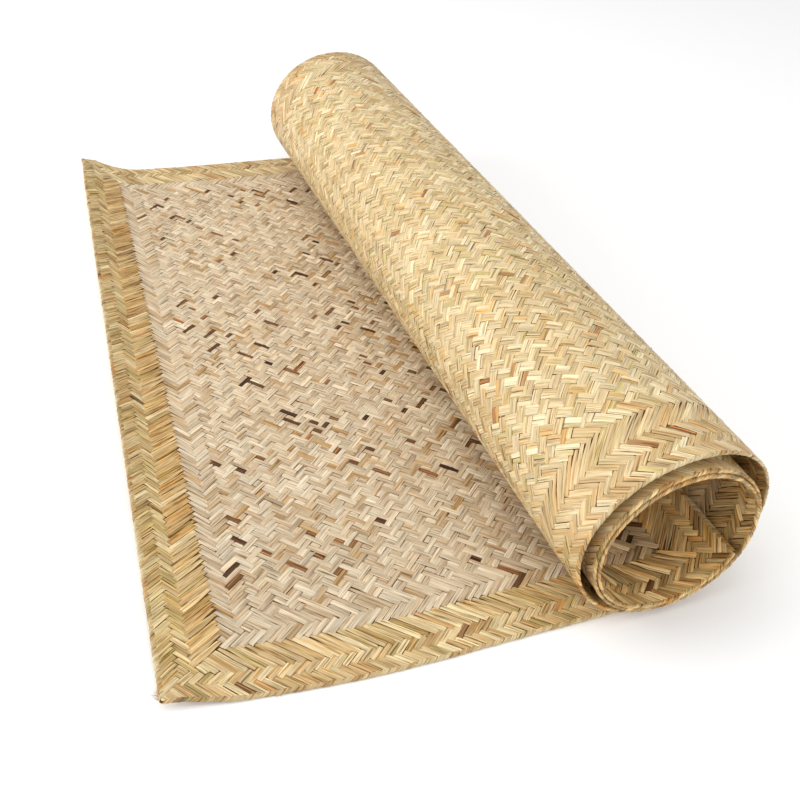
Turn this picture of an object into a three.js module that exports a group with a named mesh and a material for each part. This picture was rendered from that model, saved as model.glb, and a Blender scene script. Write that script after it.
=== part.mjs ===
// A plaited reed mat: one sheet of flat strips woven on the slant. At its four edges the strips are
// folded back over the upper side and woven in again, which makes a thicker border and leaves the
// underside flush. One end lies open on the floor with its short edge curling up, and the rest is
// rolled up over itself into a loose, hollow roll.
import * as THREE from "three";

// The sheet, in millimetres. Its width is that of the middle of its length.
const matWidth = 1000;
const fieldThickness = 2;
const borderThickness = 3;
const borderWidth = 52;
const borderStep = 6;
const foldedEdgeBulge = 1.2;
// The distance of the underside from the middle of the woven sheet, which is the same all over
const belowMiddle = fieldThickness / 2;

// The open end. The roll's axis runs along Y at x = 0, and the short edge isn't quite square to it.
const openLengthFront = 445;
const openLengthBack = 383;
const curlReach = 88;
const curlRises = [
  { across: 0, rise: 9 },
  { across: 0.25, rise: 18 },
  { across: 0.5, rise: 23 },
  { across: 0.75, rise: 27 },
  { across: 0.9, rise: 31 },
  { across: 1, rise: 33 },
];
// The back corner of the open end is blunt.
const bluntCorner = 18;
const bluntCornerReach = 0.1;

// The roll, whose section winds inwards from the floor, up its right side. Each radius is that of
// the sheet's middle, a quarter of a turn further on.
const turns = 3.18;
const stepsPerTurn = 28;
const rollAxisHeight = 86.6;
const quarterTurnRadii = [
  86.2, 98.5, 93.5, 96.6, 81.8, 80.6, 80.7, 83.9, 77.1, 76.8, 77.0, 80.3, 73.2, 70.2,
];
const rollRadii = quarterTurnRadii.map((radius, quarter) => ({ turn: quarter / 4, radius }));

// Where the two long edges run, forwards (-Y) of the start of Y and behind it. The mat is a little
// uneven in width, and is wound so that the inner turns stand out in front.
const longEdges = [
  { turn: -1, front: 16.6, back: 1026.7 },
  { turn: -0.85, front: 4.6, back: 1021.4 },
  { turn: -0.6, front: -7.5, back: 1010.5 },
  { turn: -0.3, front: -9.8, back: 1002.2 },
  { turn: 0, front: -10.6, back: 992.6 },
  { turn: 0.25, front: -6, back: 978 },
  { turn: 0.5, front: -17.5, back: 966 },
  { turn: 0.75, front: -18, back: 968 },
  { turn: 1, front: -20.3, back: 975 },
  { turn: 2, front: -24.5, back: 976 },
  { turn: turns, front: -25, back: 976 },
];

function smooth(share) {
  const s = Math.min(1, Math.max(0, share));
  return s * s * (3 - 2 * s);
}

// The value in a table's column at a place between its rows, on a smooth curve that is level at
// both ends of the table.
function readTable(rows, key, value, at) {
  const last = rows.length - 1;
  const held = Math.min(Math.max(at, rows[0][key]), rows[last][key]);
  let k = 0;
  while (k < last - 1 && held > rows[k + 1][key]) k += 1;
  const span = rows[k + 1][key] - rows[k][key];
  const t = (held - rows[k][key]) / span;
  const slope = (row) => {
    if (row === 0 || row === last) return 0;
    return (rows[row + 1][value] - rows[row - 1][value]) / (rows[row + 1][key] - rows[row - 1][key]);
  };
  const eased = rows[k][value] + (rows[k + 1][value] - rows[k][value]) * smooth(t);
  const fromStart = (t * t * t - 2 * t * t + t) * span * slope(k);
  return eased + fromStart + (t * t * t - t * t) * span * slope(k + 1);
}

function openLength(across) {
  return openLengthFront + (openLengthBack - openLengthFront) * across;
}

function curlHeight(fromShortEdge, across) {
  const rise = readTable(curlRises, "across", "rise", across);
  return rise * Math.max(0, 1 - fromShortEdge / curlReach) ** 2;
}

// How far the back edge is drawn in at the blunt corner.
function drawnIn(fromShortEdge, across) {
  const cut = Math.max(0, bluntCorner - fromShortEdge);
  return cut * Math.max(0, 1 - (1 - across) / bluntCornerReach);
}

// The sheet's middle. "turn" is -1 at the open short edge, 0 where the mat leaves the floor, and
// then counts turns; "across" runs from 0 at the front edge to 1 at the back edge.
function middlePoint(turn, across) {
  const front = readTable(longEdges, "turn", "front", turn);
  const back = readTable(longEdges, "turn", "back", turn);
  const y = front + (back - front) * across;
  if (turn <= 0) {
    const length = openLength(across);
    const fromShortEdge = length * (1 + turn);
    const z = belowMiddle + curlHeight(fromShortEdge, across);
    return new THREE.Vector3(length * turn, y - drawnIn(fromShortEdge, across), z);
  }
  const angle = turn * 2 * Math.PI;
  const radius = readTable(rollRadii, "turn", "radius", turn);
  const z = rollAxisHeight - radius * Math.cos(angle);
  return new THREE.Vector3(radius * Math.sin(angle), y, Math.max(belowMiddle, z));
}

function surfaceNormal(turn, across) {
  const nudge = 1e-3;
  const along = middlePoint(Math.min(turn + nudge, turns), across);
  along.sub(middlePoint(Math.max(turn - nudge, -1), across));
  const sideways = middlePoint(turn, Math.min(across + nudge, 1));
  sideways.sub(middlePoint(turn, Math.max(across - nudge, 0)));
  return along.cross(sideways).normalize();
}

// How far along the sheet each turn value is from the nearer short edge.
function lengthsAlong(stations) {
  const lengths = [0];
  for (let i = 1; i < stations.length; i += 1) {
    const step = middlePoint(stations[i], 0.5).distanceTo(middlePoint(stations[i - 1], 0.5));
    lengths.push(lengths[i - 1] + step);
  }
  return lengths;
}

// The distance of the upper side from the middle of the woven sheet.
function aboveMiddle(fromEdge) {
  const share = smooth((fromEdge - borderWidth) / borderStep);
  return borderThickness - belowMiddle + (fieldThickness - borderThickness) * share;
}

// Lines across the mat: close together where the short edge curls and where the border ends, then
// evenly round the roll, so that the turns keep their distance.
function lengthStations() {
  const fromShortEdge = [0, 9, 18, 35, borderWidth, borderWidth + borderStep, 72, 90, 125, 180, 240, 310];
  const meanOpenLength = openLength(0.5);
  const stations = fromShortEdge.map((distance) => distance / meanOpenLength - 1);
  const rollSteps = Math.round(turns * stepsPerTurn);
  stations.push(-0.12);
  for (let i = 0; i <= rollSteps; i += 1) {
    stations.push((i / rollSteps) * turns);
  }
  return stations;
}

function widthStations() {
  const inner = borderWidth + borderStep;
  const fromFrontEdge = [0, borderWidth, inner, 190, 340, 500, 660, 800, 900];
  fromFrontEdge.push(matWidth - inner, matWidth - borderWidth, matWidth);
  return fromFrontEdge.map((distance) => distance / matWidth);
}

// The closed skin of the sheet: an upper and a lower side, joined round the edge by a rounded fold.
function sheetGeometry() {
  const turnsAt = lengthStations();
  const acrossAt = widthStations();
  const lengths = lengthsAlong(turnsAt);
  const total = lengths[lengths.length - 1];
  const rows = turnsAt.length;
  const columns = acrossAt.length;
  const points = [];
  const faces = [];
  const upper = (i, j) => i * columns + j;
  const lower = (i, j) => rows * columns + i * columns + j;

  for (const isUpper of [true, false]) {
    for (let i = 0; i < rows; i += 1) {
      for (let j = 0; j < columns; j += 1) {
        const across = acrossAt[j];
        const fromLongEdge = Math.min(across, 1 - across) * matWidth;
        const fromShortEdge = Math.min(lengths[i], total - lengths[i]);
        const offset = isUpper ? aboveMiddle(Math.min(fromLongEdge, fromShortEdge)) : -belowMiddle;
        const normal = surfaceNormal(turnsAt[i], across);
        points.push(middlePoint(turnsAt[i], across).addScaledVector(normal, offset));
      }
    }
  }

  for (let i = 0; i + 1 < rows; i += 1) {
    for (let j = 0; j + 1 < columns; j += 1) {
      faces.push([upper(i, j), upper(i + 1, j), upper(i + 1, j + 1), upper(i, j + 1)]);
      faces.push([lower(i, j), lower(i, j + 1), lower(i + 1, j + 1), lower(i + 1, j)]);
    }
  }

  const rim = [];
  for (let i = 0; i < rows - 1; i += 1) rim.push([i, 0]);
  for (let j = 0; j < columns - 1; j += 1) rim.push([rows - 1, j]);
  for (let i = rows - 1; i > 0; i -= 1) rim.push([i, columns - 1]);
  for (let j = columns - 1; j > 0; j -= 1) rim.push([0, j]);
  const firstFoldPoint = points.length;
  for (const [i, j] of rim) {
    points.push(foldPoint(i, j, turnsAt, acrossAt));
  }
  for (let k = 0; k < rim.length; k += 1) {
    const next = (k + 1) % rim.length;
    const here = firstFoldPoint + k;
    const there = firstFoldPoint + next;
    faces.push([upper(...rim[k]), here, there, upper(...rim[next])]);
    faces.push([here, lower(...rim[k]), lower(...rim[next]), there]);
  }
  return toGeometry(points, faces);
}

// The outermost line of the folded edge stands a little outside the sheet's own edge, at half the
// border's thickness.
function foldPoint(i, j, turnsAt, acrossAt) {
  const lastRow = turnsAt.length - 1;
  const lastColumn = acrossAt.length - 1;
  const edge = middlePoint(turnsAt[i], acrossAt[j]);
  const outwards = new THREE.Vector3();
  if (i === 0 || i === lastRow) {
    const inner = middlePoint(turnsAt[i === 0 ? 1 : lastRow - 1], acrossAt[j]);
    outwards.add(edge.clone().sub(inner).normalize());
  }
  if (j === 0 || j === lastColumn) {
    const inner = middlePoint(turnsAt[i], acrossAt[j === 0 ? 1 : lastColumn - 1]);
    outwards.add(edge.clone().sub(inner).normalize());
  }
  const normal = surfaceNormal(turnsAt[i], acrossAt[j]);
  edge.addScaledVector(normal, borderThickness / 2 - belowMiddle);
  return edge.addScaledVector(outwards.normalize(), foldedEdgeBulge);
}

function toGeometry(points, faces) {
  const geometry = new THREE.BufferGeometry();
  const positions = new Float32Array(points.length * 3);
  points.forEach((point, k) => point.toArray(positions, k * 3));
  geometry.setAttribute("position", new THREE.BufferAttribute(positions, 3));
  geometry.setIndex(faces.flatMap(([a, b, c, d]) => [a, b, c, a, c, d]));
  return geometry;
}

// The part stands with the middle of its footprint over the origin and its underside on the floor.
function centreOnFloor(geometry) {
  geometry.computeBoundingBox();
  const { min, max } = geometry.boundingBox;
  geometry.translate(-(min.x + max.x) / 2, -(min.y + max.y) / 2, -min.z);
  geometry.computeVertexNormals();
}

const strawYellow = new THREE.Color(0.78, 0.66, 0.42);
const reedMaterial = new THREE.MeshStandardMaterial({
  color: strawYellow,
  roughness: 0.6,
  metalness: 0,
});

const geometry = sheetGeometry();
centreOnFloor(geometry);
const mat = new THREE.Mesh(geometry, reedMaterial);
mat.name = "reed_mat";

const group = new THREE.Group();
group.add(mat);

export default group;
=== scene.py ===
"""A plaited reed mat, partly rolled up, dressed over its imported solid."""
import math

import bpy
import numpy as np
from mathutils import Matrix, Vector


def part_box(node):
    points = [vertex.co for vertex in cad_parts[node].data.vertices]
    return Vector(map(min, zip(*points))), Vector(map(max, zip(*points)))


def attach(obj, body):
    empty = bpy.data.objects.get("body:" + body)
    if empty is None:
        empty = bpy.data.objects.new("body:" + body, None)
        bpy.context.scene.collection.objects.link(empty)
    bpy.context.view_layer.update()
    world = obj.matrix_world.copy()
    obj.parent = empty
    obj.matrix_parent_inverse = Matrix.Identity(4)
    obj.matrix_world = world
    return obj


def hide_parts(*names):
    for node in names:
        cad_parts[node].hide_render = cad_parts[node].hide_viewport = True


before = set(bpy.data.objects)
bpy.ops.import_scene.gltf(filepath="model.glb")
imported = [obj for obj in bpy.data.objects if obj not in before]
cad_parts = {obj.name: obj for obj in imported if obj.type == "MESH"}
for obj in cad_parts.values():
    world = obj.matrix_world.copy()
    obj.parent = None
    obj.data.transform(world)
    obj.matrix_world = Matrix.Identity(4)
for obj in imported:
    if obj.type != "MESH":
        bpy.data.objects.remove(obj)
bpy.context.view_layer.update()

# The heart of the mat
# The mat is one sheet of split reed, plaited on the slant by hand in two crossing layers. This piece
# is the inside of the plaiting, in the shade between the layers, and its dark brown is painted shade.
# It shows only as dark slits where strips meet. One end lies open on the floor, and the rest is rolled
# up over itself.
mat_width = 1.0
field_thickness = 0.002
border_thickness = 0.003
border_width = 0.052
border_step = 0.006
folded_edge_bulge = 0.0012
below_middle = field_thickness / 2
# The browns of the heart, painted shade
shade_brown = (60, 38, 20)
shade_tan = (122, 86, 48)

# The open end, which isn't quite square and curls up, most of all at its blunt back corner
open_length_front = 0.445
open_length_back = 0.383
curl_reach = 0.088
curl_across = [0, 0.25, 0.5, 0.75, 0.9, 1]
curl_rise = [0.009, 0.018, 0.023, 0.027, 0.031, 0.033]
blunt_corner = 0.018
blunt_corner_reach = 0.1

# The roll, with the radius of the sheet's middle at each quarter turn
turns = 3.18
roll_axis_height = 0.0866
quarter_turn_radii = [
    0.0862, 0.0985, 0.0935, 0.0966, 0.0818, 0.0806, 0.0807,
    0.0839, 0.0771, 0.0768, 0.0770, 0.0803, 0.0732, 0.0702,
]
quarter_turns = np.arange(len(quarter_turn_radii)) / 4

# The turn, with the places of the front and the back edge there
long_edges = np.array([
    (-1, 0.0166, 1.0267),
    (-0.85, 0.0046, 1.0214),
    (-0.6, -0.0075, 1.0105),
    (-0.3, -0.0098, 1.0022),
    (0, -0.0106, 0.9926),
    (0.25, -0.006, 0.978),
    (0.5, -0.0175, 0.966),
    (0.75, -0.018, 0.968),
    (1, -0.0203, 0.975),
    (2, -0.0245, 0.976),
    (turns, -0.025, 0.976),
])
edge_turns, front_edge_y, back_edge_y = long_edges.T

solid_low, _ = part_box("reed_mat")
# At the corner the folded edge stands out on the diagonal
roll_axis_x = solid_low[0] + open_length_front + folded_edge_bulge * math.sqrt(0.5)
mat_front_y = solid_low[1] - front_edge_y.min() + folded_edge_bulge


def smooth_between(places, values, at):
    """Values between those of a short table, on a smooth curve that is level at both ends."""
    places = np.array(places)
    values = np.array(values)
    slopes = np.zeros(len(values))
    slopes[1:-1] = (values[2:] - values[:-2]) / (places[2:] - places[:-2])
    held = np.clip(at, places[0], places[-1])
    k = np.clip(np.searchsorted(places, held, side="right") - 1, 0, len(places) - 2)
    span = places[k + 1] - places[k]
    t = (held - places[k]) / span
    eased = values[k] + (values[k + 1] - values[k]) * t * t * (3 - 2 * t)
    from_start = (t**3 - 2 * t**2 + t) * span * slopes[k]
    return eased + from_start + (t**3 - t**2) * span * slopes[k + 1]


def middle_of_sheet(turn, across):
    """Places on the sheet's middle. turn is -1 at the open short edge, 0 where the mat leaves the
    floor, and then counts turns. across is 0 at the front edge and 1 at the back edge."""
    turn, across = np.broadcast_arrays(np.asarray(turn, float), np.asarray(across, float))
    front = smooth_between(edge_turns, front_edge_y, turn)
    back = smooth_between(edge_turns, back_edge_y, turn)
    open_length = open_length_front + (open_length_back - open_length_front) * across
    from_short_edge = open_length * (1 + np.minimum(turn, 0))
    lift = np.clip(1 - from_short_edge / curl_reach, 0, None) ** 2
    lying_z = below_middle + smooth_between(curl_across, curl_rise, across) * lift
    cut = np.clip(blunt_corner - from_short_edge, 0, None)
    drawn_in = cut * np.clip(1 - (1 - across) / blunt_corner_reach, 0, None)
    angle = turn * 2 * math.pi
    radius = smooth_between(quarter_turns, quarter_turn_radii, turn)
    rolled_z = np.maximum(below_middle, roll_axis_height - radius * np.cos(angle))
    x = np.where(turn <= 0, open_length * turn, radius * np.sin(angle))
    y = front + (back - front) * across - drawn_in
    z = np.where(turn <= 0, lying_z, rolled_z)
    return np.stack([roll_axis_x + x, mat_front_y + y, z], axis=-1)


# Lengths along the flat sheet, from the open short edge to the inner one
turn_marks = np.linspace(0, turns, 1600)
turn_line = middle_of_sheet(turn_marks, 0.5)
rolled_lengths = np.concatenate([[0], np.cumsum(np.linalg.norm(np.diff(turn_line, axis=0), axis=1))])
open_length = (open_length_front + open_length_back) / 2
mat_length = open_length + rolled_lengths[-1]


def turn_at(along):
    """The turn at a length along the flat sheet."""
    rolled = np.interp(along - open_length, rolled_lengths, turn_marks)
    return np.where(along < open_length, along / open_length - 1, rolled)


def on_sheet(along, across, height):
    """Places at a height over the sheet's middle, with along and across in metres on the flat sheet.
    What lies past an edge reaches on from it, level with the sheet."""
    held_along = np.clip(along, 0, mat_length)
    held_across = np.clip(across, 0, mat_width)
    turn = turn_at(held_along)
    share = held_across / mat_width
    nudge = 1e-3
    before = middle_of_sheet(np.maximum(turn - nudge, -1), share)
    after = middle_of_sheet(np.minimum(turn + nudge, turns), share)
    nearer = middle_of_sheet(turn, np.maximum(share - nudge, 0))
    further = middle_of_sheet(turn, np.minimum(share + nudge, 1))
    lengthways = (after - before) / np.linalg.norm(after - before, axis=-1, keepdims=True)
    sideways = (further - nearer) / np.linalg.norm(further - nearer, axis=-1, keepdims=True)
    upwards = np.cross(lengthways, sideways)
    upwards /= np.linalg.norm(upwards, axis=-1, keepdims=True)
    place = middle_of_sheet(turn, share) + upwards * np.asarray(height)[..., None]
    return place + lengthways * (along - held_along)[..., None] + sideways * (across - held_across)[..., None]


def border_rise(along, across):
    """How much higher the upper side is where the strips are folded back over it."""
    from_edge = np.minimum(np.minimum(along, mat_length - along), np.minimum(across, mat_width - across))
    share = np.clip((border_width + border_step - from_edge) / border_step, 0, 1)
    return (border_thickness - field_thickness) * share


def linear(colour):
    """A colour as seen, 0 to 255, in Blender's own linear measure."""
    share = np.asarray(colour, float) / 255
    return np.where(share <= 0.04045, share / 12.92, ((share + 0.055) / 1.055) ** 2.4)


def new_piece(name, points, faces, material):
    """A piece of reed that belongs to the mat's one body."""
    mesh = bpy.data.meshes.new(name)
    mesh.from_pydata(points.reshape(-1, 3).tolist(), [], faces.tolist())
    mesh.materials.append(material)
    piece = bpy.data.objects.new(name, mesh)
    bpy.context.collection.objects.link(piece)
    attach(piece, "root")
    return piece


def quads_between(number):
    """The faces of grids of points, numbered in the last two axes."""
    corners = [number[..., :-1, :-1], number[..., 1:, :-1], number[..., 1:, 1:], number[..., :-1, 1:]]
    return np.stack(corners, -1)


def heart_geometry():
    """A closed skin: an upper and a lower side, joined by a wall round the edge."""
    half_thickness = 0.00035
    border_lines, floor_lines, roll_lines, field_lines = 14, 60, 300, 25
    inner = border_width + border_step
    on_border = np.linspace(0, border_width, border_lines)
    on_floor = np.linspace(inner, open_length, floor_lines)
    in_roll = np.linspace(open_length, mat_length - inner, roll_lines)[1:]
    along_marks = np.concatenate([on_border, on_floor, in_roll, mat_length - on_border[::-1]])
    over_field = np.linspace(inner, mat_width - inner, field_lines)
    across_marks = np.concatenate([[0, border_width], over_field, [mat_width - border_width, mat_width]])
    along, across = np.meshgrid(along_marks, across_marks, indexing="ij")
    upper_points = on_sheet(along, across, half_thickness + border_rise(along, across))
    lower_points = on_sheet(along, across, np.full_like(along, -half_thickness))
    long_count, wide_count = along.shape
    number = np.arange(2 * along.size).reshape(2, long_count, wide_count)
    skin = quads_between(number).reshape(2, -1, 4)

    rim = [(i, 0) for i in range(long_count - 1)]
    rim += [(long_count - 1, j) for j in range(wide_count - 1)]
    rim += [(i, wide_count - 1) for i in range(long_count - 1, 0, -1)]
    rim += [(0, j) for j in range(wide_count - 1, 0, -1)]
    rim_upper = np.array([number[0][place] for place in rim])
    rim_lower = np.array([number[1][place] for place in rim])
    wall = np.stack([rim_upper, rim_lower, np.roll(rim_lower, -1), np.roll(rim_upper, -1)], -1)
    return np.stack([upper_points, lower_points]), np.concatenate([skin[0], skin[1][:, ::-1], wall])


def shaded_reed():
    """Dull brown reed, mottled by its fibres, as painted shade between the layers of the plaiting."""
    material = bpy.data.materials.new("reed in the shade of the plaiting")
    material.use_nodes = True
    nodes = material.node_tree.nodes
    links = material.node_tree.links
    surface = nodes["Principled BSDF"]
    surface.inputs["Roughness"].default_value = 0.85
    surface.inputs["Specular IOR Level"].default_value = 0.2
    fibres = nodes.new("ShaderNodeTexNoise")
    fibres.inputs["Scale"].default_value = 260
    fibres.inputs["Detail"].default_value = 3
    tone = nodes.new("ShaderNodeValToRGB")
    dark_end, light_end = tone.color_ramp.elements
    dark_end.position = 0.3
    dark_end.color = (*linear(shade_brown), 1)
    light_end.position = 0.75
    light_end.color = (*linear(shade_tan), 1)
    place = nodes.new("ShaderNodeTexCoord")
    links.new(place.outputs["Object"], fibres.inputs["Vector"])
    links.new(fibres.outputs["Fac"], tone.inputs["Fac"])
    links.new(tone.outputs["Color"], surface.inputs["Base Color"])
    return material


heart_points, heart_faces = heart_geometry()
heart = new_piece("mat_heart", heart_points, heart_faces, shaded_reed())
heart.data.shade_smooth()
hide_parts("reed_mat")

# The open field
# The strips are split reed a little over 5 mm wide. They cross on the slant, each passing over four,
# under three, over two and under three. The upper side of the field shows their inner, matt side.
rows = 268
row_height = mat_width / rows
columns = 2 * round(mat_length / row_height / 2)
column_width = mat_length / columns
strip_pitch = row_height * math.sqrt(2)
slant = math.sqrt(0.5)
longest_float = 8
top_height = 0.00088
side_drop = 0.00022
pressed_flat = 0.00003
# Each strip has its grain from a lane of its own, far from those of the strips that cross it
lane_width = 0.013
crossing_lanes = 3.1

right_leaning_over = np.array([1, 1, 1, 1, 0, 0, 0, 1, 1, 0, 0, 0], bool)
# Rows of the border from a long edge inwards: whether the strips on top lean right, and how many
# crossings each passes. On the short edges they lean the other way.
upper_border = [(False, 4), (True, 3), (False, 7), (True, 4), (False, 4)]
golden_rows = 14

cream = (213, 196, 168)
buff = (186, 156, 120)
bleached = (230, 216, 191)
light_tan = (182, 146, 96)
light_brown = (140, 98, 58)
dark_brown = (72, 44, 24)


def chance(trait, *numbers):
    """A steady random share for each set of whole numbers. Each trait has shares of its own."""
    # The steps have no common measure, so neighbours get quite different shares
    mixed = int.from_bytes(trait.encode(), "big") % 997 * 9.151
    for number, step in zip(numbers, (12.9898, 78.233, 37.719, 4.581)):
        mixed = mixed + np.asarray(number, float) * step
    return np.abs(np.sin(mixed) * 43758.5453) % 1


class Stretches:
    """Stretches of strip that lie over others: middle column and row, crossings passed, and lean,
    which is 1 to the right and -1 to the left. side is 1 on the upper side and -1 underneath."""

    def __init__(self, table, side):
        self.table = table
        self.side = side
        self.column, self.row, self.crossings, self.lean = table.T
        self.strip = np.round((self.row - self.lean * self.column) / 2)
        self.from_long_edge = np.minimum(self.row, rows - 1 - self.row)
        self.from_short_edge = np.minimum(self.column, columns - 1 - self.column)
        self.from_edge = np.minimum(self.from_long_edge, self.from_short_edge)
        self.turn = turn_at((self.column + 0.5) * column_width)

    def where(self, chosen):
        return Stretches(self.table[chosen], self.side)

    def own(self, trait):
        """A random share for each stretch."""
        return chance(trait, self.column, self.row, self.side)

    def same_along_strip(self, trait):
        """A random share that all the stretches of a strip have in common."""
        return chance(trait, self.strip, self.lean, self.side)

    def drifting(self, trait, spacing):
        """A random share that drifts along each strip, over a given number of rows."""
        at = self.row / spacing + self.same_along_strip(trait) * 5
        low = np.floor(at)
        first = chance(trait, self.strip, self.lean, low)
        following = chance(trait, self.strip, self.lean, low + 1)
        t = at - low
        return first + (following - first) * t * t * (3 - 2 * t)


def lean_of_border(bands, from_edge):
    """For each number of crossings from the edge, 1 or 0 for right or left, and -1 in the field."""
    lean = np.full(from_edge.max() + 1, -1)
    start = 0
    for leans_right, crossings in bands:
        lean[start : start + crossings] = leans_right
        start += crossings
    return lean[from_edge]


def plait(bands, field_over):
    """True where the strip on top leans right, for the column and row of every crossing. A column
    and a row that don't share their oddness have no crossing."""
    column, row = np.meshgrid(np.arange(columns), np.arange(rows), indexing="ij")
    from_long = np.minimum(row, rows - 1 - row)
    from_short = np.minimum(column, columns - 1 - column)
    long_lean = lean_of_border(bands, from_long)
    short_lean = lean_of_border(bands, from_short)
    short_lean = np.where(short_lean < 0, -1, 1 - short_lean)
    lean = np.where(from_long <= from_short, long_lean, short_lean)
    strip = (row - column) // 2
    # Every other strip is half a repeat further on
    repeat = len(right_leaning_over)
    in_repeat = (column + repeat // 2 * (strip % 2)) % repeat
    in_field = right_leaning_over[in_repeat] == field_over
    return np.where(lean < 0, in_field, lean > 0)


def floats(leans_right, side):
    """The stretches that each strip passes over others, none longer than the longest float."""
    found = []
    for lean in (1, -1):
        on_top = (leans_right if lean > 0 else ~leans_right).tolist()
        for column in range(columns):
            for row in range(column % 2, rows, 2):
                before = column - lean
                carried_on = row > 0 and 0 <= before < columns and on_top[before][row - 1]
                if carried_on or not on_top[column][row]:
                    continue
                passed = 1
                while (
                    row + passed < rows
                    and 0 <= column + lean * passed < columns
                    and on_top[column + lean * passed][row + passed]
                ):
                    passed += 1
                for start in range(0, passed, longest_float):
                    count = min(longest_float, passed - start)
                    middle = start + (count - 1) / 2
                    found.append((column + lean * middle, row + middle, count, lean))
    return Stretches(np.array(found), side)


def each(values):
    """One value for each stretch, to be spread over its grid of points."""
    return values[:, None, None]


def round_middle(stretches, u, v, scale=1):
    """Places on the flat sheet, u along each strip and v across it from the middle of a stretch."""
    lean = each(stretches.lean)
    along = each((stretches.column + 0.5) * column_width) + (u * lean - v) * slant * scale
    across = each((stretches.row + 0.5) * row_height) + (u + v * lean) * slant * scale
    return along, across


def grain_places(stretches, u, v):
    """Places along and across the whole strips, each of which has a lane of its own."""
    from_start = each((stretches.row + stretches.column * stretches.lean) * row_height * slant)
    lane = each(stretches.strip * lane_width + stretches.lean * crossing_lanes)
    return np.stack(np.broadcast_arrays(from_start + u, lane + v), -1)


def outward_faces(stretches, shape):
    """The faces of a grid of points for each stretch, wound to face away from the sheet."""
    faces = quads_between(np.arange(math.prod(shape)).reshape(shape))
    facing_in = stretches.lean * stretches.side > 0
    return np.where(facing_in[:, None, None, None], faces[..., ::-1], faces)


def strip_part(points, faces, grain, flat, colours):
    """A part of a piece: its points and faces, their places in the grain and on the flat sheet, and
    the colours."""
    return {
        "points": points.reshape(-1, 3),
        "faces": faces.reshape(-1, 4),
        "grain": grain.reshape(-1, 2),
        "flat": flat.reshape(-1, 2),
        "colours": np.broadcast_to(colours, points.shape).reshape(-1, 3),
    }


def add_map(mesh, name, u, v):
    """A flat map of a mesh, with two coordinates for each of its points."""
    layer = mesh.uv_layers.new(name=name)
    corner = np.empty(len(mesh.loops), np.int32)
    mesh.loops.foreach_get("vertex_index", corner)
    layer.data.foreach_set("uv", np.stack([u[corner], v[corner]], -1).ravel().astype(np.float32))


def strip_piece(name, parts, material):
    """One piece of parts. Strips that would reach below the floor are pressed flat on it."""
    first_points = np.cumsum([0] + [len(part["points"]) for part in parts])
    points = np.concatenate([part["points"] for part in parts])
    points[:, 2] = np.maximum(points[:, 2], pressed_flat)
    faces = np.concatenate([part["faces"] + first for part, first in zip(parts, first_points)])
    grain = np.concatenate([part["grain"] for part in parts])
    flat = np.concatenate([part["flat"] for part in parts])
    colours = np.concatenate([part["colours"] for part in parts])
    piece = new_piece(name, points, faces, material)
    add_map(piece.data, "along the strip", grain[:, 0], grain[:, 1])
    flat = (flat - flat.min(0)) / np.ptp(flat, axis=0)
    add_map(piece.data, "OFBake", flat[:, 0], flat[:, 1])
    tint = piece.data.attributes.new("strip colour", "FLOAT_COLOR", "POINT")
    opaque = np.ones((len(colours), 1))
    tint.data.foreach_set("color", np.hstack([colours, opaque]).ravel().astype(np.float32))
    piece.data.shade_smooth()
    piece.data.set_sharp_from_angle(angle=math.radians(50))
    return piece


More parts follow.
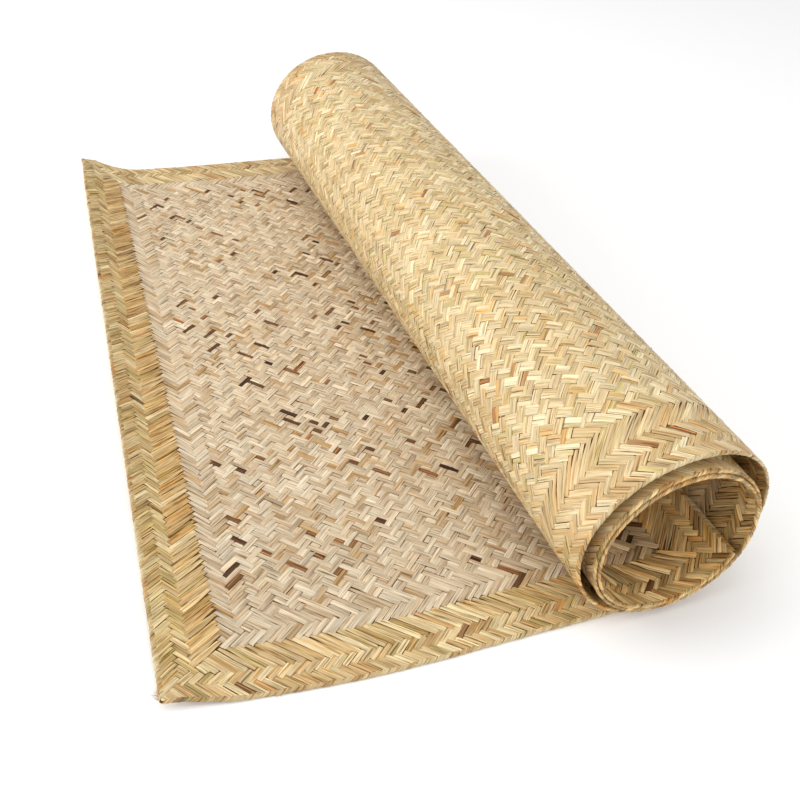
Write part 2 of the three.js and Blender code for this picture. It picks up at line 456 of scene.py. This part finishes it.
def stretch_part(stretches, colours, bend_count):
    """The lit faces of some stretches: a flat top with low sides, tucked under at both ends."""
    # Distances in from each end, with the height there and the share of the full width
    ends = [(-0.0009, 0.00022, 0.80), (0.0003, 0.00058, 0.88), (0.0020, top_height, 1)]
    reach = stretches.crossings * strip_pitch / 2
    from_middle = np.stack([reach - inside for inside, _, _ in ends], 1)
    bends = reach[:, None] * np.linspace(-1, 1, bend_count + 2)[None, 1:-1]
    station = np.concatenate([-from_middle, bends, from_middle[:, ::-1]], 1)[:, :, None]
    end_heights = [height for _, height, _ in ends]
    end_widths = [width for _, _, width in ends]
    heights = np.array(end_heights + [top_height] * bend_count + end_heights[::-1])[None, :, None]
    widths = np.array(end_widths + [1] * bend_count + end_widths[::-1])[None, :, None]
    # Across the strip: its sides and its flat top
    section_at = np.array([-1, -0.94, 0.94, 1])
    section_drop = np.array([side_drop, 0, 0, side_drop])
    shape = (len(stretches.row), station.shape[1], len(section_at))

    is_dark = colours.mean(1) < 0.2
    inside_roll = (stretches.turn > 0) & (stretches.side > 0)
    narrow = stretches.own("narrow") < 0.12 + 0.5 * is_dark + 0.22 * inside_roll
    wide = stretches.same_along_strip("width")
    half_width = strip_pitch / 2 * (0.96 + 0.10 * wide - 0.11 * narrow)
    drawn_in = each(stretches.own("drawn in") < 0.30)
    widths = np.where(drawn_in, widths, 1)
    # Long stretches of the border are often split at their inner ends, which leaves dark slots
    by_short_edge = stretches.from_short_edge < stretches.from_long_edge
    inwards_by_row = np.sign(rows / 2 - stretches.row)
    inwards_by_column = np.sign(columns / 2 - stretches.column) * stretches.lean
    inwards = each(np.where(by_short_edge, inwards_by_column, inwards_by_row))
    slotted = each((stretches.own("slotted") < 0.34) & (stretches.crossings > 5))
    widths = np.where(slotted & (station * inwards > each(reach) / 2), 0.6, widths)
    aside = section_at * each(half_width) * widths

    deep = each(stretches.own("deep ends") < 0.3)
    heights = np.where(deep & (heights < top_height), heights - 0.0003, heights)
    tilt = each(stretches.own("tilt") - 0.5) * 0.00032
    level = each(0.00016 * wide - 0.0002 * narrow)
    height = heights - section_drop + tilt * np.sign(aside) + level
    turned = each(stretches.own("turned") - 0.5) * 0.05
    shifted = each(stretches.own("shifted") - 0.5) * 0.0007
    u = np.broadcast_to(station, shape)
    v = aside + shifted + turned * u
    along, across = round_middle(stretches, u, v)
    along = np.clip(along, 0, mat_length)
    across = np.clip(across, 0, mat_width)
    if stretches.side > 0:
        height = height + border_rise(along, across)
    points = on_sheet(along, across, stretches.side * height)

    # On the flat map the stretches are drawn in a little, to keep them apart
    flat = np.stack(round_middle(stretches, u, v, scale=0.9), -1)
    # One side of a strip is often darker than the other
    over_width = (section_at + 1)[None, :, None] / 2
    contrast = np.where(is_dark, 1.1, 0.3)
    one_side = colours[:, None] * each(1 + contrast * (stretches.own("one side") - 0.5))
    other_side = colours[:, None] * each(1 + contrast * (stretches.own("other side") - 0.5))
    shades = one_side * (1 - over_width) + other_side * over_width
    faces = outward_faces(stretches, shape)
    return strip_part(points, faces, grain_places(stretches, u, v), flat, shades[:, None])


def lay_strips(name, stretches, material, colouring):
    """One piece of the given stretches of strip, the long ones with a bend in the middle."""
    parts = []
    for chosen, bend_count in ((stretches.crossings <= 4, 0), (stretches.crossings > 4, 1)):
        if chosen.any():
            some = stretches.where(chosen)
            parts.append(stretch_part(some, colouring(some), bend_count))
    return strip_piece(name, parts, material)


def split_reed(name, roughness, gloss, streaks, cracks):
    """Split reed with its grain along each strip. The colour of each stretch comes with the mesh.
    streaks and cracks say how much darker the broad streaks and the thin cracks are. The dark of the
    cracks is painted shade in the splits, and partly the reed's own darker fibre."""
    material = bpy.data.materials.new(name)
    material.use_nodes = True
    nodes = material.node_tree.nodes
    links = material.node_tree.links
    surface = nodes["Principled BSDF"]
    surface.inputs["Specular IOR Level"].default_value = gloss
    tint = nodes.new("ShaderNodeAttribute")
    tint.attribute_name = "strip colour"
    place = nodes.new("ShaderNodeUVMap")
    place.uv_map = "along the strip"

    def grain(along_scale, across_scale, detail):
        drawn_out = nodes.new("ShaderNodeMapping")
        drawn_out.inputs["Scale"].default_value = (along_scale, across_scale, 1)
        noise = nodes.new("ShaderNodeTexNoise")
        noise.inputs["Scale"].default_value = 1
        noise.inputs["Detail"].default_value = detail
        noise.inputs["Roughness"].default_value = 0.65
        links.new(place.outputs["UV"], drawn_out.inputs["Vector"])
        links.new(drawn_out.outputs["Vector"], noise.inputs["Vector"])
        return noise.outputs["Fac"]

    def ranged(value, low, high, to_low, to_high):
        node = nodes.new("ShaderNodeMapRange")
        node.inputs["From Min"].default_value = low
        node.inputs["From Max"].default_value = high
        node.inputs["To Min"].default_value = to_low
        node.inputs["To Max"].default_value = to_high
        links.new(value, node.inputs["Value"])
        return node.outputs["Result"]

    fibres = grain(along_scale=28, across_scale=560, detail=4)
    cracked = grain(along_scale=18, across_scale=600, detail=2)
    # A crack is deepest at the first of these values and ends at the second
    crack = (0.39, 0.45)
    streaked = nodes.new("ShaderNodeVectorMath")
    streaked.operation = "SCALE"
    links.new(tint.outputs["Color"], streaked.inputs[0])
    links.new(ranged(fibres, 0.36, 0.62, 1 - streaks, 1 + streaks * 0.6), streaked.inputs["Scale"])
    # A crack is painted darker and more orange: painted shade in the split, and partly the reed's own darker
    # fibre
    grained = nodes.new("ShaderNodeGamma")
    links.new(streaked.outputs["Vector"], grained.inputs["Color"])
    links.new(ranged(cracked, *crack, 1 + 1.6 * cracks, 1), grained.inputs["Gamma"])
    links.new(grained.outputs["Color"], surface.inputs["Base Color"])
    links.new(ranged(fibres, 0.3, 0.7, roughness + 0.12, roughness - 0.08), surface.inputs["Roughness"])

    depth = nodes.new("ShaderNodeMath")
    depth.operation = "MULTIPLY"
    links.new(fibres, depth.inputs[0])
    links.new(ranged(cracked, *crack, 1 - cracks, 1), depth.inputs[1])
    ridges = nodes.new("ShaderNodeBump")
    ridges.inputs["Strength"].default_value = 0.5
    ridges.inputs["Distance"].default_value = 0.0003
    links.new(depth.outputs["Value"], ridges.inputs["Height"])
    links.new(ridges.outputs["Normal"], surface.inputs["Normal"])
    return material


def plain(colour, stretches):
    """The same colour for all the stretches."""
    return linear(colour) * np.ones((len(stretches.row), 1))


def towards(colour, other, share):
    """Each colour mixed with another, by a share for each stretch."""
    share = np.clip(share, 0, 1)[:, None]
    return colour * (1 - share) + linear(other) * share


def painted_shade_inside_roll(colour, stretches):
    """Inside the roll the colours carry painted shade and painted highlights: a browner tint for the warm
    shade there, and a random spread of darker and lighter stretches for the shade and the glossy highlights.
    """
    # Painted shade and highlights: a random spread of darker and lighter stretches
    worn = 0.66 + 0.72 * stretches.own("worn")[:, None]
    # Painted shade: the warm brown of the shade inside the roll
    browner = np.array([1.05, 0.96, 0.80])
    return colour * np.where(stretches.turn[:, None] > 0, worn * browner, 1)


def inner_side_colours(stretches):
    """Pale, with tan and brown lengths that come back along a strip, most of them near the roll."""
    colour = plain(cream, stretches)
    colour = towards(colour, buff, 0.75 * stretches.own("darker") - 0.1)
    colour = towards(colour, bleached, 1.6 * stretches.same_along_strip("pale") - 1)
    tanned = (stretches.drifting("tan", 26) - 0.72) * 4
    colour = towards(colour, light_tan, tanned * (stretches.own("tan") > 0.2))
    share_of_open = np.clip(stretches.column * column_width / open_length, 0, 1)
    by_the_roll = np.clip(share_of_open * 2 - 0.9, 0, 1)
    by_the_front = np.clip(1.2 - stretches.row / 90, 0, 1)
    amount = 0.08 + 0.09 * np.maximum(by_the_roll, 0.5 * by_the_front)
    # Few of the long lengths are brown
    spared = np.select([stretches.crossings > 4, stretches.crossings > 3], [0.93, 0.5], 0.15)
    brown = (stretches.drifting("brown", 16) > 1 - amount) & (stretches.own("brown") > spared)
    browns = towards(plain(light_brown, stretches), dark_brown, stretches.own("depth of brown"))
    colour = np.where(brown[:, None], browns, colour * (1 - 0.09 * by_the_front[:, None]))
    # Inside the roll, painted shade and highlights
    return painted_shade_inside_roll(colour, stretches)


inner_reed = split_reed("inner side of split reed", 0.72, 0.25, 0.27, 0.36)

upper = floats(plait(upper_border, True), side=1)
in_field = upper.from_edge >= golden_rows
lying = upper.turn < 0
field_shows = upper.where(in_field & lying)
open_field = lay_strips("open_field_strips", field_shows, inner_reed, inner_side_colours)

# The lining of the roll
# The upper side of the mat, with its matt reed, carries on into the roll. Its strips line the
# innermost turn, and reach a hand's breadth deep between the other turns, where one can look in
# from the ends.
innermost_turns = 1.1
looked_into = 0.11


def by_the_ends(stretches):
    return stretches.from_long_edge * row_height < looked_into


innermost = upper.turn > turns - innermost_turns
lining = upper.where(in_field & ~lying & (innermost | by_the_ends(upper)))
roll_lining = lay_strips("roll_lining_strips", lining, inner_reed, inner_side_colours)

# The border
# At the edges the strips are folded back over the upper side and woven in again, in two slanting
# rows with their yellow skin up. Strips there are shredded a little and leave dark slots.
golden = (211, 186, 139)
deep_gold = (176, 138, 82)
pale_gold = (230, 214, 172)
olive = (160, 142, 80)
orange = (186, 128, 52)
border_brown = (116, 76, 38)
ripe_gold = (198, 156, 86)
sand = (196, 172, 112)


def border_colours(stretches):
    """Golden, with olive, orange and brown lengths. By the short edges the long row is riper."""
    colour = plain(golden, stretches)
    colour = towards(colour, deep_gold, 1.2 * stretches.own("darker") - 0.3)
    colour = towards(colour, pale_gold, 1.5 * stretches.same_along_strip("pale") - 0.8)
    colour = towards(colour, olive, (stretches.drifting("olive", 30) - 0.74) * 3)
    is_orange = stretches.drifting("orange", 14) > 0.84
    colour = towards(colour, orange, is_orange * stretches.own("orange") * 0.8)
    brown = stretches.own("brown") > 0.985
    colour = towards(colour, border_brown, brown * (0.5 + 0.5 * stretches.own("depth of brown")))
    by_short_edge = (stretches.from_short_edge < stretches.from_long_edge) & (stretches.turn < 0)
    long_row = stretches.crossings > 5
    colour = towards(colour, ripe_gold, by_short_edge * long_row * (0.1 + 0.5 * stretches.own("golden")))
    colour = towards(colour, sand, by_short_edge * ~long_row * 0.7 * stretches.own("greenish"))
    # Inside the roll, painted shade and highlights
    return painted_shade_inside_roll(colour, stretches)


border_reed = split_reed("skin of split reed on the border", 0.52, 0.35, 0.32, 0.58)
border_shows = upper.where(~in_field & (lying | innermost | by_the_ends(upper)))
border_strips = lay_strips("border_strips", border_shows, border_reed, border_colours)

# The cover of the roll
# Outside, the roll shows the underside of the mat, with the strips' pale, glossier skin up. Its
# border rows are those woven before the fold.
outermost_turns = 1.08
under_border = [(True, 4), (False, 3), (True, 5), (False, 7), (True, 4)]
straw = (213, 192, 152)
dark_straw = (196, 166, 110)
pale_straw = (234, 221, 184)
olive_straw = (193, 176, 116)
orange_straw = (204, 156, 84)
tan_straw = (184, 144, 88)
brown_straw = (160, 108, 54)


def cover_colours(stretches):
    """Straw, with paler, olive and orange lengths, and tan ones by the ends of the roll."""
    colour = plain(straw, stretches)
    colour = towards(colour, dark_straw, 0.85 * stretches.own("darker") - 0.15)
    colour = towards(colour, pale_straw, 1.7 * stretches.same_along_strip("pale") - 1)
    colour = towards(colour, olive_straw, (stretches.drifting("olive", 30) - 0.74) * 3)
    colour = towards(colour, orange_straw, (stretches.drifting("orange", 12) - 0.80) * 4)
    near_end = np.clip(1.3 - stretches.from_long_edge / 18, 0, 1)
    colour = towards(colour, tan_straw, near_end * (stretches.own("tan") - 0.15) * 0.9)
    brown = stretches.own("brown") > 0.985
    return towards(colour, brown_straw, brown * (0.5 + 0.5 * stretches.own("depth of brown")))


cover_reed = split_reed("skin of split reed on the underside", 0.50, 0.38, 0.22, 0.34)
under = floats(plait(under_border, False), side=-1)
outermost = (under.turn >= 0) & (under.turn <= outermost_turns)
cover_shows = outermost | ((under.turn >= 0) & by_the_ends(under))
for part, first_row, last_row in (("front", 0, 90), ("middle", 90, 178), ("back", 178, rows)):
    chosen = cover_shows & (under.row >= first_row) & (under.row < last_row)
    cover = lay_strips(f"roll_cover_{part}", under.where(chosen), cover_reed, cover_colours)

# The side on the floor
# Under the open end the same underside of the mat lies on the floor. Its strips are the ones that
# cover the roll, plaited on without a break.
floor_side = lay_strips("floor_side_strips", under.where(under.turn < 0), cover_reed, cover_colours)

# The slivers
# Reed splits as it is bent and beaten close. Where a strip has split, a sliver of it lies a little
# proud of the rest, lighter or darker.


def sliver_part(stretches, colouring, trait, amount, number_of_set):
    """Slivers on a share of the given stretches. The trait tells one set from another."""
    some = stretches.where(stretches.own(trait) < amount)
    reach = each(some.crossings * strip_pitch / 2)
    place = each(some.own(trait + " place")) - 0.5
    width = 0.0004 + 0.0011 * each(some.own(trait + " width"))
    turned = (each(some.own(trait + " turned")) - 0.5) * 0.10
    near_end = 0.75 + 0.27 * each(some.own(trait + " start"))
    far_end = 0.75 + 0.27 * each(some.own(trait + " end"))
    proud = 0.0002 + 0.0004 * each(some.own(trait + " proud"))
    station = np.array([-1, 0, 1])[None, :, None]
    u = reach * np.where(station < 0, -near_end, far_end) * np.abs(station)
    v = place * strip_pitch * 0.72 + turned * u + np.array([-0.5, 0.5]) * width
    height = np.broadcast_to(top_height + 0.0001 + proud * (1 - 0.8 * np.abs(station)), v.shape)
    along, across = round_middle(some, u, v)
    if some.side > 0:
        height = height + border_rise(along, across)
    points = on_sheet(along, across, some.side * height)

    colours = colouring(some)
    contrast = np.where(colours.mean(1) < 0.2, 2.2, 0.6)
    colours = colours * (0.72 + contrast * some.own(trait + " shade"))[:, None]
    # On the flat map the two sides of the mat and the two sets lie beside each other
    apart = 1.05
    flat_along = along + (some.side > 0) * mat_length * apart
    flat_across = across + number_of_set * mat_width * apart
    flat = np.stack([flat_along, flat_across], -1)
    faces = outward_faces(some, v.shape)
    return strip_part(points, faces, grain_places(some, u, v), flat, colours[:, None, None])


sliver_parts = []
for number_of_set, (trait, share) in enumerate((("sliver", 0.55), ("second sliver", 0.35))):
    sliver_parts.append(sliver_part(field_shows, inner_side_colours, trait, share, number_of_set))
    sliver_parts.append(sliver_part(border_shows, border_colours, trait, share * 1.5, number_of_set))
    sliver_parts.append(sliver_part(under.where(outermost), cover_colours, trait, share, number_of_set))
slivers = strip_piece("slivers", sliver_parts, border_reed)

# The folded edges
# Each strip is folded over the edge and slants back on the other side, so the edge is a row of
# small slanting folds, like a rope.


def edge_folds(corner, direction, inwards, length, number_of_edge):
    """The folds of one edge, which starts at a corner of the flat sheet and runs in a direction."""
    spacing = 2 * row_height
    count = round(length / spacing)
    number = np.arange(count)[:, None, None]
    clear_of_strips = 0.00006
    top = border_thickness - below_middle + clear_of_strips
    bottom = -top_height - clear_of_strips
    middle_height = (top + bottom) / 2
    half_height = (top - bottom) / 2
    leg = 0.0016
    tucked_leg = 0.0036
    # Round the fold, from its tucked end on the upper side to the one underneath
    angle = np.radians([90, 90, 90, 52, 15, -22, -58, -90, -90, -90])[None, :, None]
    inside = np.array([tucked_leg, leg, 0, 0, 0, 0, 0, 0, leg, tucked_leg])[None, :, None]
    sink = np.array([0.0006, 0, 0, 0, 0, 0, 0, 0, 0, 0.0006])[None, :, None]
    thick = 0.9 + 0.35 * chance("fold", number, number_of_edge)
    bulge = (folded_edge_bulge + 0.0003) * thick
    crown = np.array([-0.00035, 0.0001, 0.00015, -0.00025]) - sink
    inside = inside - (bulge + crown) * np.cos(angle)
    height = middle_height + (half_height + crown) * np.sin(angle)
    shape = np.broadcast_shapes(inside.shape, height.shape)

    round_the_fold = np.linspace(1, -1, angle.size)[None, :, None] * (tucked_leg + half_height)
    over_width = np.array([-1, -0.2, 0.6, 1])
    shifted = (chance("fold place", number, number_of_edge) - 0.5) * 0.0008
    beside = (number + 0.5 + over_width / 2) * length / count + round_the_fold + shifted
    beside = np.clip(beside, 0, length)
    along = corner[0] + direction[0] * beside + inwards[0] * inside
    across = corner[1] + direction[1] * beside + inwards[1] * inside
    points = on_sheet(along, across, np.broadcast_to(height, shape))
    faces = quads_between(np.arange(math.prod(shape)).reshape(shape))
    if direction[0] * inwards[1] - direction[1] * inwards[0] < 0:
        faces = faces[..., ::-1]

    as_stretches = np.zeros((count, 4))
    as_stretches[:, 0] = number.ravel()
    as_stretches[:, 3] = 1
    # The folds are a little darker than the border strips
    colours = 0.85 * border_colours(Stretches(as_stretches, 2 + number_of_edge))
    lanes_to_an_edge = 700
    lane = (number + number_of_edge * lanes_to_an_edge) * lane_width + over_width * strip_pitch / 2
    # A strip goes over the edge on the slant, which draws out its grain
    drawn_out = 1.4
    grain = np.stack(np.broadcast_arrays(round_the_fold * drawn_out, lane), -1)
    map_row_height = 0.02
    map_row = number_of_edge + 0.5 + round_the_fold / map_row_height
    flat = np.stack(np.broadcast_arrays(map_row, beside), -1)
    return strip_part(points, faces, grain, flat, colours[:, None, None])


# The corner where each edge starts, its direction, the way inwards from it, and its length
edges = [
    ((0, 0), (1, 0), (0, 1), mat_length),
    ((0, mat_width), (1, 0), (0, -1), mat_length),
    ((0, 0), (0, 1), (1, 0), mat_width),
    ((mat_length, 0), (0, 1), (-1, 0), mat_width),
]
folds = [edge_folds(*edge, number_of_edge) for number_of_edge, edge in enumerate(edges)]
folded_edges = strip_piece("folded_edges", folds, border_reed)

# Loose fibres
# Fibres of the reed have come loose along the folded edges, where the mat is handled, and in tufts
# at the two corners of the open end.
fibres_per_metre = 360
longest_fibre = 0.006
# The place across the mat where each tuft starts, how far it reaches, its fibres and the longest one
tufts = [(0, 0.005, 80, 0.013), (mat_width - 0.020, 0.020, 110, 0.014)]
loose_tan = (150, 108, 58)
loose_pale = (230, 210, 166)
dice = np.random.default_rng(11)


def loose_fibres(number_of_set, count, corner, direction, inwards, length, longest):
    """Thin fibres that start near an edge and slant out over it."""
    start = dice.uniform(0, length, count)[:, None, None]
    inside = dice.uniform(0, 0.004, count)[:, None, None]
    heading = np.radians(dice.uniform(10, 75, count) * dice.choice([-1, 1], count))[:, None, None]
    reach = dice.uniform(0.4, 1, count)[:, None, None] * longest
    width = dice.uniform(0.0003, 0.0007, count)[:, None, None]
    bend = dice.uniform(-0.3, 0.3, count)[:, None, None]
    lift = dice.uniform(-0.1, 0.35, count)[:, None, None]
    foot = dice.uniform(-0.0006, 0.0018, count)[:, None, None]
    gone = np.linspace(0, 1, 4)[None, :, None]
    side_of = np.array([-0.5, 0.5]) * (1.1 - gone)
    bent = heading + bend * gone
    beside = start + reach * gone * np.cos(heading) + side_of * width * np.sin(bent)
    outside = reach * gone * np.abs(np.sin(bent)) - side_of * width * np.cos(bent) - inside
    along = corner[0] + direction[0] * beside - inwards[0] * outside
    across = corner[1] + direction[1] * beside - inwards[1] * outside
    height = np.broadcast_to(foot + reach * lift * gone**2, along.shape)
    points = on_sheet(along, across, height)
    over_floor = 0.0004
    points[..., 2] = np.maximum(points[..., 2], over_floor)
    faces = quads_between(np.arange(along.size).reshape(along.shape))
    tan_or_pale = dice.uniform(0, 1, (count, 1))
    colours = linear(loose_tan) * tan_or_pale + linear(loose_pale) * (1 - tan_or_pale)
    grain = np.stack(np.broadcast_arrays(reach * gone, start + side_of * width), -1)
    # On the flat map they stand in rows
    fibres_to_a_row = 50
    rows_to_a_set = 16
    fibre = np.arange(count)[:, None, None]
    map_column = fibre % fibres_to_a_row + 0.8 * side_of
    map_row = number_of_set * rows_to_a_set + fibre // fibres_to_a_row + 0.8 * gone
    flat = np.stack(np.broadcast_arrays(map_column, map_row), -1)
    return strip_part(points, faces, grain, flat, colours[:, None, None])


loose_ends = []
for number_of_edge, (*edge, length) in enumerate(edges):
    count = int(length * fibres_per_metre)
    loose_ends.append(loose_fibres(number_of_edge, count, *edge, length, longest_fibre))
_, along_open_edge, off_open_edge, _ = edges[2]
for number_of_set, (place, reach, count, longest) in enumerate(tufts, start=len(edges)):
    tuft = loose_fibres(number_of_set, count, (0, place), along_open_edge, off_open_edge, reach, longest)
    loose_ends.append(tuft)
edge_fibres = strip_piece("loose_fibres", loose_ends, border_reed)

# The floor
# A plain pale floor under the mat, which isn't part of it. It reaches far enough to fill the
# picture from the side too.
floor_reach = 60
floor_mesh = bpy.data.meshes.new("floor")
floor_mesh.from_pydata(
    [(-floor_reach, -floor_reach, 0), (floor_reach, -floor_reach, 0),
     (floor_reach, floor_reach, 0), (-floor_reach, floor_reach, 0)],
    [],
    [(0, 1, 2, 3)],
)
floor_paint = bpy.data.materials.new("pale floor")
floor_paint.use_nodes = True
floor_surface = floor_paint.node_tree.nodes["Principled BSDF"]
floor_surface.inputs["Base Color"].default_value = (0.92, 0.92, 0.92, 1)
floor_surface.inputs["Roughness"].default_value = 0.9
floor_mesh.materials.append(floor_paint)
floor = bpy.data.objects.new("floor", floor_mesh)
bpy.context.collection.objects.link(floor)

# The studio light
# A large soft box stands above and to the left, another low on the left, and a weaker one in front.
# An even white surround fills the shadows.
surround = bpy.data.worlds.new("white surround")
surround.use_nodes = True
background = surround.node_tree.nodes["Background"]
background.inputs["Color"].default_value = (1, 1, 1, 1)
background.inputs["Strength"].default_value = 0.78
bpy.context.scene.world = surround


def soft_box(name, place, aim, width, power):
    """A square lamp of a width in metres and a power in watts, turned towards its aim."""
    light = bpy.data.lights.new(name, "AREA")
    light.shape = "SQUARE"
    light.size = width
    light.energy = power
    lamp = bpy.data.objects.new(name, light)
    lamp.location = place
    to_aim = np.array(aim) - np.array(place)
    yaw = math.atan2(to_aim[0], -to_aim[1])
    tilt = math.atan2(math.hypot(to_aim[0], to_aim[1]), -to_aim[2])
    lamp.rotation_euler = (tilt, 0, yaw + math.pi)
    bpy.context.collection.objects.link(lamp)


soft_box("soft box above", (-0.7, 0.1, 2.6), (0, 0, 0), 2.6, 26)
soft_box("soft box on the left", (-2.2, 0.7, 0.9), (0, 0.1, 0.1), 1.8, 38)
soft_box("soft box in front", (0.4, -2.6, 1.2), (0.1, 0, 0.1), 1.6, 20)

# The camera
# It stands in front of the mat and to the left, and looks down over the open end, a little tipped
# to one side.
lens = bpy.data.cameras.new("camera")
lens.sensor_width = 36
lens.lens = 46.14
lens.shift_x = 0.0009
lens.shift_y = -0.009
left_of_roll = 0.4718
before_mat = 0.5137
eye_height = 0.7128
look_down = 0.6479
look_right = 0.3920
tipped = 0.0530
camera = bpy.data.objects.new("camera", lens)
camera.matrix_world = (
    Matrix.Translation((roll_axis_x - left_of_roll, mat_front_y - before_mat, eye_height))
    @ Matrix.Rotation(-look_right, 4, "Z")
    @ Matrix.Rotation(math.pi / 2 - look_down, 4, "X")
    @ Matrix.Rotation(tipped, 4, "Z")
)
bpy.context.collection.objects.link(camera)
bpy.context.scene.camera = camera
bpy.context.scene.view_settings.view_transform = "Standard"
